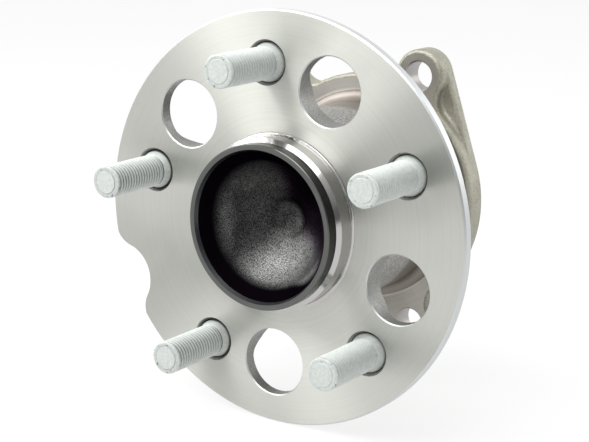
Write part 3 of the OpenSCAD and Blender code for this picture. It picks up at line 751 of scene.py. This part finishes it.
# The black of the scale, and of the painted shade on the steep wall.
black_scale_and_shade = (0.003, 0.0018, 0.0032)
tree.links.new(mixed_colour(tree, tone, black_scale_and_shade, bare_metal_and_highlight), shader.inputs["Base Color"])
tree.links.new(spread(tree, bowl, 0.0, 1.0, 0.7, 0.42), shader.inputs["Roughness"])
raised(tree, shader, grains, 0.16 * mm)


def in_recess(centre):
    """Whether a place lies in the recess of the wheel pilot."""
    return math.hypot(centre.x, centre.z) < recess_mouth_r - 0.1 and centre.y < recess_depth + 0.2


def hub_finish(centre, normal):
    radius = math.hypot(centre.x, centre.z)
    depth = centre.y
    if depth > spindle_start:
        return ground
    if in_recess(centre):
        return scale
    if radius < pilot_r and depth < -0.001:
        if depth > rotor_pilot_end:
            return rotor_pilot
        if depth > wheel_pilot_end and radius > wheel_pilot_r:
            return wheel_pilot
        return pilot_front if radius > pilot_front_r else pilot_mouth
    if depth < 0.01 and normal.y < -0.98:
        return wheel_face
    if near_hole(centre, stud_away, stud_turns, stud_hole_reach):
        return stud_pocket
    if near_hole(centre, bolt_away, wrench_turns, wrench_hole_reach):
        return hole_wall if depth > wrench_hole_chamfer else rim_side
    return rim_side if radius > rim_r else hub_skin


def merged_copy(name, node):
    """A copy of a CAD node's mesh as a piece of its own, with its loose triangles joined."""
    copy = bmesh.new()
    copy.from_mesh(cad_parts[node].data)
    bmesh.ops.remove_doubles(copy, verts=copy.verts, dist=merge_gap)
    data = bpy.data.meshes.new(name)
    copy.to_mesh(data)
    copy.free()
    return linked(name, data)


# The recess as the punch left it: the turned mouth, the steep wall, the bowl and the soft-edged cup.
bowl_centre = 19.03
bowl_radius = 26.13
recess = [(26.5, -10.5), (25.5, -9.45), (24.5, -8.45), (23.85, -7.76), (23.4, -7.2), (23, -6.6)]
for radius in (22.4, 21.6, 20.6, 19.4, 18.2, 17, 15.7, 14.4, 13, 11.7, 10.4, 9.4):
    recess.append((radius, math.sqrt(bowl_radius ** 2 - radius ** 2) - bowl_centre))
recess += [
    (8.8, 5.66), (8.2, 5.93), (7.7, 6.22), (7.2, 6.6), (6.7, 7), (6.2, 7.36), (5.6, 7.68), (4.8, 7.9),
    (3.4, recess_depth),
]
hub = merged_copy("hub_forging", "hub_flange")
shape = bmesh.new()
shape.from_mesh(hub.data)
punched = [face for face in shape.faces if in_recess(face.calc_center_median() / mm)]
bmesh.ops.delete(shape, geom=punched, context="FACES")
row = list({v for edge in shape.edges if edge.is_boundary for v in edge.verts})
row.sort(key=lambda v: math.atan2(v.co.z, v.co.x))
for radius, depth in recess:
    row_turns = [math.atan2(v.co.z, v.co.x) for v in row]
    low = [shape.verts.new(point) for point in around(radius, depth, row_turns)]
    for i, vertex in enumerate(row):
        shape.faces.new((vertex, row[i - 1], low[i - 1], low[i]))
    row = low
foot = shape.verts.new((0, recess_depth * mm, 0))
for i, vertex in enumerate(row):
    shape.faces.new((vertex, row[i - 1], foot))
bmesh.ops.recalc_face_normals(shape, faces=shape.faces)
# The mouths of the studs' holes are countersunk a little wider and deeper than the CAD's.
within_mouth = 8.2 * mm
within_cone = 7.7 * mm
cad_mouth_depth = 0.5 * mm
mouth_depth = 1.4 * mm
mouth_r = 8.3 * mm
for vertex in shape.verts:
    for turn in stud_turns:
        middle = Vector((stud_away * math.cos(turn) * mm, vertex.co.y, stud_away * math.sin(turn) * mm))
        aside = vertex.co - middle
        if abs(vertex.co.y) < 1e-6 and aside.length < within_mouth:
            vertex.co = middle + aside.normalized() * mouth_r
        if abs(vertex.co.y - cad_mouth_depth) < 1e-6 and aside.length < within_cone:
            vertex.co.y = mouth_depth
shape.to_mesh(hub.data)
shape.free()
finish_faces(hub, [
    wheel_face, rim_side, rotor_pilot, wheel_pilot, pilot_front, pilot_mouth, hole_wall, stud_pocket, ground,
    scale, hub_skin,
], hub_finish)
crisp_edges(hub, angle=30)
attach(hub, "hub")
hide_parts("hub_flange")

# Wheel studs: cold-formed M12 bolts with a rolled thread, pressed through the flange from behind. They
# are matt pale grey from a zinc flake coat, with painted shade in the thread's roots.
thread_pitch = 1.5
thread_steps = 48
thread_low = 2.2
thread_top = 28.3
crest_r = 6.0
root_r = 5.12
neck_r = 5.5
neck_top = 2.35
point_r = 5.8
run_out = 27.5
point_start = 28.1
thread_section = ((0.0, crest_r), (0.14, crest_r), (0.5, root_r), (0.66, root_r))
stud_outline = (
    (thread_low, neck_r), (neck_top, neck_r), (2.6, crest_r), (run_out, crest_r), (point_start, crest_r),
    (thread_top, point_r),
)


def eased(value, start, end):
    """0 up to the start, 1 past the end, and an even change between."""
    return min(1, max(0, (value - start) / (end - start)))


def stud_limit(height):
    """The largest radius that the neck above the collar and the stud's point leave at a height."""
    for (low, low_r), (high, high_r) in zip(stud_outline, stud_outline[1:]):
        if height <= high:
            return low_r + (high_r - low_r) * eased(height, low, high)
    return stud_outline[-1][1]


# The thread is a helix of its section, cut off flat at both ends. It runs out at the neck and the point.
stud = bmesh.new()
# This mark holds where painted shade darkens the coat, from the depth of the thread's roots.
crease_shade = stud.verts.layers.float.new("crease_shade")
point_edge = stud.verts.layers.float.new("point_edge")
total = int((thread_top - thread_low + 3 * thread_pitch) / thread_pitch * thread_steps)
helix = []
for i in range(total):
    turn = math.tau * i / thread_steps
    start = thread_low + thread_pitch * (i / thread_steps - 2)
    helix.append([
        stud.verts.new((r * math.cos(turn), r * math.sin(turn), start + thread_pitch * share))
        for share, r in thread_section
    ])
for i in range(total - 1):
    for j in range(3):
        stud.faces.new((helix[i][j], helix[i + 1][j], helix[i + 1][j + 1], helix[i][j + 1]))
    if i + thread_steps + 1 < total:
        over, next_over = helix[i + thread_steps][0], helix[i + thread_steps + 1][0]
        stud.faces.new((helix[i][3], helix[i + 1][3], next_over, over))
for height, _ in stud_outline:
    bmesh.ops.bisect_plane(
        stud, geom=[*stud.verts, *stud.edges, *stud.faces], dist=1e-5,
        plane_co=(0, 0, height), plane_no=(0, 0, 1),
        clear_inner=height == thread_low, clear_outer=height == thread_top,
    )
for vertex in stud.verts:
    height = vertex.co.z
    cut = crest_r - math.hypot(vertex.co.x, vertex.co.y)
    cut *= eased(height, 2.4, 3.1) * eased(height, point_start, run_out)
    vertex[crease_shade] = max(0, cut / (crest_r - root_r), 1 - eased(height, neck_top, 2.65))
    vertex[point_edge] = eased(height, 27.4, point_start)
    radius = min(crest_r - cut, stud_limit(height))
    flat = Vector((vertex.co.x, vertex.co.y)).normalized() * radius
    vertex.co = (flat.x * mm, flat.y * mm, height * mm)
bmesh.ops.remove_doubles(stud, verts=stud.verts, dist=2e-6)
bmesh.ops.holes_fill(stud, edges=[edge for edge in stud.edges if edge.is_boundary], sides=0)


def lathe(shape, profile, steps):
    """Adds the turned surface of a profile of radius and height about the Z axis."""
    rings = []
    for radius, height in profile:
        sides = [math.tau * i / steps for i in range(steps)] if radius else [0]
        rings.append([
            shape.verts.new((radius * math.cos(t) * mm, radius * math.sin(t) * mm, height * mm))
            for t in sides
        ])
    for low, high in zip(rings, rings[1:]):
        for i in range(steps):
            j = (i + 1) % steps
            corners = (low[i % len(low)], low[j % len(low)], high[j % len(high)], high[i % len(high)])
            shape.faces.new(list(dict.fromkeys(corners)))


# Below the thread come the head, the shank and the collar. Above it the point has a rounded edge, a ring
# groove and a flat end.
lathe(stud, [
    (0, -12.9), (8.6, -12.9), (9.4, -12.7), (9.85, -12.2), (10, -11.6), (10, -9.6), (9.8, -9.3), (7.15, -9.3),
    (7.15, -1.1), (7.0, -0.8), (6.75, -0.25), (6.1, 1.2), (5.85, 1.6), (5.5, 1.8), (5.45, 2.3), (0, 2.3),
], thread_steps)
lathe(stud, [
    (0, 27.9), (5.8, 27.9), (6, 28.1), (5.98, 28.35), (5.85, 28.58), (5.6, 28.74), (5.25, 28.83),
    (4.85, 28.84), (4.55, 28.79), (4.38, 28.76), (4.26, 28.82), (4.18, 28.94), (4.05, 29), (0, 29),
], thread_steps)
# Painted shade is also marked on the collar's foot in the pocket, the neck's undercut and the point's groove
# and chamfer.
for vertex in stud.verts:
    height = vertex.co.z / mm
    radius = math.hypot(vertex.co.x, vertex.co.y) / mm
    at_foot = -1.2 < height < -0.5
    at_neck = 1.7 < height < 2.4
    if at_foot or at_neck:
        vertex[crease_shade] = 1
    if height > 28.2 and radius > 4.5:
        vertex[point_edge] = 1
    if height > 28.7 and radius > 4.15:
        vertex[crease_shade] = 0.5 if radius < 4.45 else 0.32
bmesh.ops.recalc_face_normals(stud, faces=stud.faces)
stud_data = bpy.data.meshes.new("stud_thread")
stud.to_mesh(stud_data)
stud.free()

# Painted shade darkens the coat in the thread's roots and other creases, most on the studs at the left, and
# the coat is nicked along the point's edge.
coat, tree, shader = node_material("zinc_flake_coat")
place = object_place(tree)
shader.inputs["Metallic"].default_value = 0.35
shader.inputs["Roughness"].default_value = 0.5
cloud = noise(tree, place, scale=900.0, detail=4.0)
flakes = ramp_colour(tree, cloud, 0.3, (0.47, 0.498, 0.48), 0.65, (0.573, 0.606, 0.583))
marks = {}
for mark in ("crease_shade", "point_edge"):
    attribute = tree.nodes.new("ShaderNodeAttribute")
    attribute.attribute_name = mark
    marks[mark] = attribute.outputs["Fac"]
# The painted shade is strongest on the studs at the left, where the light falls across the thread.
shown = spread(tree, lean(tree, place, (1, 0, 0)), -30 * mm, 15 * mm, 0.92, 0.2)
painted_crease_shade = add_math(tree, "MULTIPLY", shown, spread(tree, marks["crease_shade"], 0.15, 0.95))
flakes = mixed_colour(tree, painted_crease_shade, flakes, (0.06, 0.065, 0.062))
nicks = spread(tree, noise(tree, place, scale=560.0, detail=3.0), 0.6, 0.67, 0.0, 0.8)
nicked = add_math(tree, "MULTIPLY", nicks, marks["point_edge"])
flakes = mixed_colour(tree, nicked, flakes, (0.07, 0.07, 0.065))
tree.links.new(flakes, shader.inputs["Base Color"])
raised(tree, shader, cloud, 0.04 * mm)

# One stud is placed on a circle's points, turned about the axis and laid along it.
stud_data.materials.append(coat)
stud_template = linked("stud_template", stud_data)
crisp_edges(stud_template, angle=26)
placing = bpy.data.node_groups.new("studs_on_circle", "GeometryNodeTree")
placing.is_modifier = True
for name, kind in (
    ("Geometry", "NodeSocketGeometry"),
    ("Stud", "NodeSocketObject"),
    ("Studs", "NodeSocketInt"),
    ("Circle radius", "NodeSocketFloat"),
    ("First turn", "NodeSocketFloat"),
    ("Coat", "NodeSocketMaterial"),
):
    placing.interface.new_socket(name, in_out="INPUT", socket_type=kind)
placing.interface.new_socket("Geometry", in_out="OUTPUT", socket_type="NodeSocketGeometry")
nodes, links = placing.nodes, placing.links
given = nodes.new("NodeGroupInput").outputs
circle = nodes.new("GeometryNodeMeshCircle")
circle.fill_type = "NONE"
links.new(given["Studs"], circle.inputs["Vertices"])
links.new(given["Circle radius"], circle.inputs["Radius"])
info = nodes.new("GeometryNodeObjectInfo")
links.new(given["Stud"], info.inputs["Object"])
put = nodes.new("GeometryNodeInstanceOnPoints")
links.new(circle.outputs["Mesh"], put.inputs["Points"])
links.new(info.outputs["Geometry"], put.inputs["Instance"])
spin = nodes.new("GeometryNodeTransform")
turned = nodes.new("ShaderNodeCombineXYZ")
turned.inputs["X"].default_value = math.pi / 2
links.new(add_math(placing, "MULTIPLY", given["First turn"], -1), turned.inputs["Y"])
links.new(put.outputs["Instances"], spin.inputs["Geometry"])
links.new(turned.outputs[0], spin.inputs["Rotation"])
real = nodes.new("GeometryNodeRealizeInstances")
links.new(spin.outputs["Geometry"], real.inputs["Geometry"])
dress = nodes.new("GeometryNodeSetMaterial")
links.new(real.outputs["Geometry"], dress.inputs["Geometry"])
links.new(given["Coat"], dress.inputs["Material"])
links.new(dress.outputs["Geometry"], nodes.new("NodeGroupOutput").inputs["Geometry"])
studs = linked("wheel_studs", bpy.data.meshes.new("wheel_studs"))
press = studs.modifiers.new("studs_on_circle", "NODES")
press.node_group = placing
sockets = {s.name: s.identifier for s in placing.interface.items_tree if s.in_out == "INPUT"}
press[sockets["Stud"]] = stud_template
press[sockets["Studs"]] = stud_count
press[sockets["Circle radius"]] = stud_away * mm
press[sockets["First turn"]] = stud_turns[0]
press[sockets["Coat"]] = coat
make_real(studs)
bpy.data.objects.remove(stud_template)
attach(studs, "hub")
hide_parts(*[f"wheel_stud_{i}" for i in range(1, 6)])


# Balls, inner ring and cages: the balls are lapped bearing steel in ground raceways. The inboard row's
# inner raceway is on a separate ring on the spindle, and each row's cage is moulded from honey-coloured
# polyamide. From here on the CAD's own meshes stay and only get their finishes.
def dress_nodes(material, *names):
    """Gives CAD nodes that stay as they are their finish."""
    for name in names:
        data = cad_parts[name].data
        data.materials.clear()
        data.materials.append(material)


ball_steel = grainy_finish(
    "lapped_ball_steel", (0.72, 0.73, 0.74), (0.8, 0.81, 0.82),
    grain=900.0, depth=0.001 * mm, metal=1.0, roughness=0.07,
)
race_steel = turned_finish(
    "ground_race", (0.528, 0.528, 0.528), (0.624, 0.624, 0.624),
    roughness=0.14, sheen=0.4, grooves=3000.0, depth=0.002 * mm, cylinder=True,
)
cage_plastic = grainy_finish(
    "cage_polyamide", (0.5, 0.38, 0.2), (0.62, 0.48, 0.28),
    grain=700.0, depth=0.03 * mm, metal=0.0, roughness=0.45,
)
for row_name in ("outboard", "inboard"):
    dress_nodes(ball_steel, *[f"{row_name}_ball_{i}" for i in range(1, 13)])
    dress_nodes(cage_plastic, f"{row_name}_cage")
dress_nodes(race_steel, "inner_ring")

# Seals, encoder and rear cap: pressed from plated sheet steel. The outboard seal has lips of black rubber
# bonded to its case, a rubber ring seals the pressed-in cap, and the encoder's carrier holds a ring of
# rubber filled with ferrite.
sheet_steel = grainy_finish(
    "plated_sheet", (0.56, 0.57, 0.56), (0.72, 0.73, 0.71),
    grain=260.0, depth=0.02 * mm, metal=1.0, roughness=0.3,
)
rubber = grainy_finish(
    "black_rubber", (0.015, 0.015, 0.015), (0.03, 0.03, 0.03),
    grain=900.0, depth=0.03 * mm, metal=0.0, roughness=0.6,
)
ferrite = grainy_finish(
    "encoder_rubber", (0.03, 0.026, 0.022), (0.055, 0.048, 0.042),
    grain=1500.0, depth=0.02 * mm, metal=0.1, roughness=0.5,
)
dress_nodes(sheet_steel, "seal_slinger", "seal_case", "encoder_carrier", "rear_cap")
dress_nodes(rubber, "seal_lips", "cap_seal")
dress_nodes(ferrite, "encoder_magnet")

# Spindle nut: a hexagon nut that clamps the inner ring, with a thin collar staked into the spindle's
# slot. It is steel, dark grey from a phosphate coat that holds oil.
nut_finish = grainy_finish(
    "phosphated_nut", (0.16, 0.16, 0.155), (0.26, 0.26, 0.25),
    grain=1200.0, depth=0.04 * mm, metal=0.6, roughness=0.5,
)
dress_nodes(nut_finish, "spindle_nut")

# Wheel speed sensor: a black polyamide body with its plug socket, moulded round two plated terminals.
# Its foot sits on the rear cap, and its nose stands through the cap's window at the encoder.
plug_plastic = grainy_finish(
    "moulded_polyamide", (0.018, 0.018, 0.019), (0.035, 0.035, 0.037),
    grain=1400.0, depth=0.03 * mm, metal=0.0, roughness=0.42,
)
tin = grainy_finish(
    "tin_plate", (0.68, 0.67, 0.62), (0.78, 0.77, 0.73),
    grain=600.0, depth=0.01 * mm, metal=1.0, roughness=0.22,
)
dress_nodes(plug_plastic, "sensor_body")
dress_nodes(tin, "sensor_terminals")

low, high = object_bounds()
